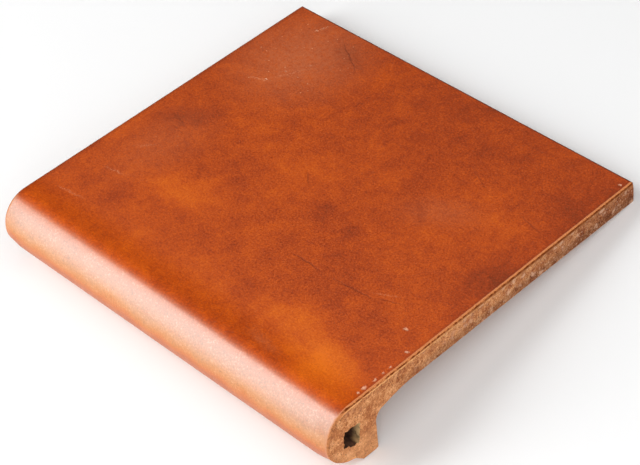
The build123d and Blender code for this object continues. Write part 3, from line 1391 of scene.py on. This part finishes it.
@dataclass(frozen=True)
class Channel:
    """Wall of the hollow: clay painted dark as the hollow's deep shade, with painted yellowish light on its
    back wall near the mouth.
    """

    section: TreadSection
    half_length: float
    # Painted shade: the wall's dark colours stand in for the hollow's deep shade
    soot_and_shade: Colour = (0.030, 0.010, 0.004, 1.0)
    clay: Colour = (0.130, 0.048, 0.018, 1.0)
    # Painted light on the back wall near the mouth
    bloom_and_painted_light: Colour = (0.800, 0.500, 0.220, 1.0)
    roughness: float = 0.9
    drag_grain: Grain = Grain(1.4)
    drag_stretch: Triple = (0.12, 1.0, 1.0)
    drag_share: float = 0.4
    drag: Bump = Bump(0.4, 0.8)
    patch_grain: Grain = Grain(4.0)
    patch_share: float = 0.6
    tones: Point = (0.36, 0.62)
    mouth: Ease = Ease(8.5, 1.0)
    back_wall: Ease = Ease(1.0, 4.0)
    painted_light_patches: Ease = Ease(0.3, 0.55, 0.4, 0.95)

    def material(self) -> Material:
        """Build the hollow's wall.

        Returns:
            The material.
        """
        graph = Graph("channel", self.section)
        along, back, _ = graph.axes()
        drag = graph.grain(self.drag_grain, graph.stretched(self.drag_stretch))
        patch = graph.grain(self.patch_grain)
        tone = graph.math("MULTIPLY_ADD", drag, self.drag_share, graph.times(patch, self.patch_share))
        colour = graph.ramp(tone, self.tones, self.soot_and_shade, self.clay)
        inside = graph.math("SUBTRACT", self.half_length / MM, graph.math("ABSOLUTE", along))
        back_wall = graph.span(back, self.back_wall.past(self.section.nosing_radius / MM))
        # Painted light: the back wall near the mouth, in patches
        bloom_and_painted_light = graph.times(graph.span(inside, self.mouth), back_wall, graph.span(patch, self.painted_light_patches))
        colour = graph.mix(bloom_and_painted_light, colour, self.bloom_and_painted_light)
        return graph.finish(colour, self.roughness, graph.bump(drag, self.drag))


@dataclass(frozen=True)
class BareClay:
    """Unglazed fired clay of the heel, the underside and the back edge, with extrusion drag lines."""

    section: TreadSection
    dusk: Colour = (0.330, 0.130, 0.060, 1.0)
    clay: Colour = (0.470, 0.205, 0.098, 1.0)
    bloom_and_painted_light: Colour = (0.620, 0.330, 0.185, 1.0)
    pore: Colour = (0.130, 0.050, 0.024, 1.0)
    roughness: float = 0.9
    drag_grain: Grain = Grain(2.2, 4.0)
    drag_stretch: Triple = (0.03, 1.0, 1.0)
    drag: Bump = Bump(0.3, 0.7)
    cloud_grain: Grain = Grain(32.0, 4.0, 0.6, 0.4)
    speck_grain: Grain = Grain(1.5, 3.0, 0.65)
    speck: Bump = Bump(0.15, 0.6)
    shares: Triple = (0.30, 0.45, 0.25)
    tones: Triple = (0.36, 0.50, 0.66)
    pore_size: float = 3.4
    pores: Ease = Ease(0.16, 0.08, 0.0, 0.75)

    def material(self) -> Material:
        """Build the bare clay.

        Returns:
            The material.
        """
        graph = Graph("bare_clay", self.section)
        drag = graph.grain(self.drag_grain, graph.stretched(self.drag_stretch))
        speck = graph.grain(self.speck_grain)
        layers = (drag, graph.grain(self.cloud_grain), speck)
        tone = graph.weighed(*zip(layers, self.shares))
        colour = graph.ramp(tone, self.tones, self.dusk, self.clay, self.bloom_and_painted_light)
        colour = graph.mix(graph.span(graph.pores(self.pore_size), self.pores), colour, self.pore)
        lines = graph.bump(drag, self.drag)
        return graph.finish(colour, self.roughness, graph.bump(speck, self.speck, lines))


@dataclass(frozen=True)
class Lamp:
    """One soft panel of light, aimed at the tile."""

    name: str
    heading: Triple
    distance: float
    size: Point
    power: float
    upright: Triple = (0.0, 0.0, 1.0)

    def hang(self, aim: Vector) -> None:
        """Add the lamp to the scene.

        Args:
            aim: Point that it faces.
        """
        data = bpy.data.lights.new(self.name, "AREA")
        data.shape = "RECTANGLE"
        data.size, data.size_y = self.size
        data.energy = self.power
        lamp = bpy.data.objects.new(self.name, data)
        away = Vector(self.heading).normalized()
        across = Vector(self.upright).cross(away).normalized()
        pose = Matrix((across, away.cross(across), away)).transposed().to_4x4()
        pose.translation = aim + away * self.distance
        lamp.matrix_world = pose
        bpy.context.scene.collection.objects.link(lamp)


@dataclass
class Studio:
    """Pale floor, soft panels and dim surroundings."""

    floor_radius: float = 5.0
    floor_sides: int = 96
    floor_colour: Colour = (0.96, 0.96, 0.96, 1.0)
    dusk: Colour = (1.0, 1.0, 1.0, 1.0)
    dusk_strength: float = 0.02
    lamps: tuple[Lamp, ...] = (
        Lamp("overhead_panel", (0.35, -0.2, 1.0), 2.6, (2.8, 2.8), 31.0, (0.0, 1.0, 0.0)),
        Lamp("front_panel", (-0.566, -0.651, 0.511), 2.6, (1.3, 3.2), 84.0, (0.0, 0.54, 0.84)),
        Lamp("end_panel", (1.0, -0.6, 0.45), 2.0, (1.9, 1.5), 16.0),
        Lamp("rear_panel", (0.61, 0.54, 0.58), 2.6, (1.5, 1.5), 13.0),
    )
    aim: Triple = (0.0, 0.0, 0.03)

    def build(self) -> None:
        """Lay the floor, hang the lamps and dim the surroundings."""
        bm = bmesh.new()
        bmesh.ops.create_circle(bm, cap_ends=True, radius=self.floor_radius, segments=self.floor_sides)
        mesh = bpy.data.meshes.new("floor")
        bm.to_mesh(mesh)
        bm.free()
        floor = bpy.data.objects.new("floor", mesh)
        bpy.context.scene.collection.objects.link(floor)
        paint = bpy.data.materials.new("floor_paint")
        paint.use_nodes = True
        shader = paint.node_tree.nodes["Principled BSDF"]
        shader.inputs["Base Color"].default_value = self.floor_colour
        shader.inputs["Roughness"].default_value = 1.0
        shader.inputs["Specular IOR Level"].default_value = 0.0
        mesh.materials.append(paint)
        for lamp in self.lamps:
            lamp.hang(Vector(self.aim))
        world = bpy.data.worlds.new("studio")
        world.use_nodes = True
        backdrop = world.node_tree.nodes["Background"]
        backdrop.inputs["Color"].default_value = self.dusk
        backdrop.inputs["Strength"].default_value = self.dusk_strength
        bpy.context.scene.world = world


@dataclass
class PhotoCamera:
    """Camera at the photograph's viewing angle."""

    azimuth: float = 55.75
    elevation: float = 46.83
    roll: float = -15.40
    distance: float = 1490.66 * MM
    target: Triple = (32.34 * MM, -22.13 * MM, 40.66 * MM)
    focal_pixels: float = 2161.54

    def build(self) -> None:
        """Add the camera and make it the scene's own."""
        turn, rise, tilt = radians(self.azimuth), radians(self.elevation), radians(self.roll)
        back = Vector((sin(turn) * cos(rise), -cos(turn) * cos(rise), sin(rise)))
        level = Vector((cos(turn), sin(turn), 0.0))
        upright = back.cross(level)
        across = cos(tilt) * level + sin(tilt) * upright
        up = cos(tilt) * upright - sin(tilt) * level
        pose = Matrix((across, up, back)).transposed().to_4x4()
        pose.translation = Vector(self.target) + back * self.distance
        data = bpy.data.cameras.new("photo_camera")
        data.sensor_width = SENSOR_WIDTH
        data.lens = self.focal_pixels * SENSOR_WIDTH / IMAGE_WIDTH
        camera = bpy.data.objects.new("photo_camera", data)
        camera.matrix_world = pose
        bpy.context.scene.collection.objects.link(camera)
        bpy.context.scene.camera = camera


def main() -> None:
    """Build the camera, the studio and the tile."""
    logging.basicConfig(level=logging.INFO, format="%(message)s")
    bpy.context.scene.view_settings.view_transform = "Standard"
    PhotoCamera().build()
    Studio().build()
    low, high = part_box(TREAD_NODE)
    tile = TreadTile(TreadSection(), high.x - low.x)
    piece = tile.build()
    tile.dress(piece)
    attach(piece, TREAD_BODY)
    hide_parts(TREAD_NODE)
    piece.data.calc_loop_triangles()
    log.info("%s: %d triangles", piece.name, len(piece.data.loop_triangles))


if __name__ == "__main__":
    main()
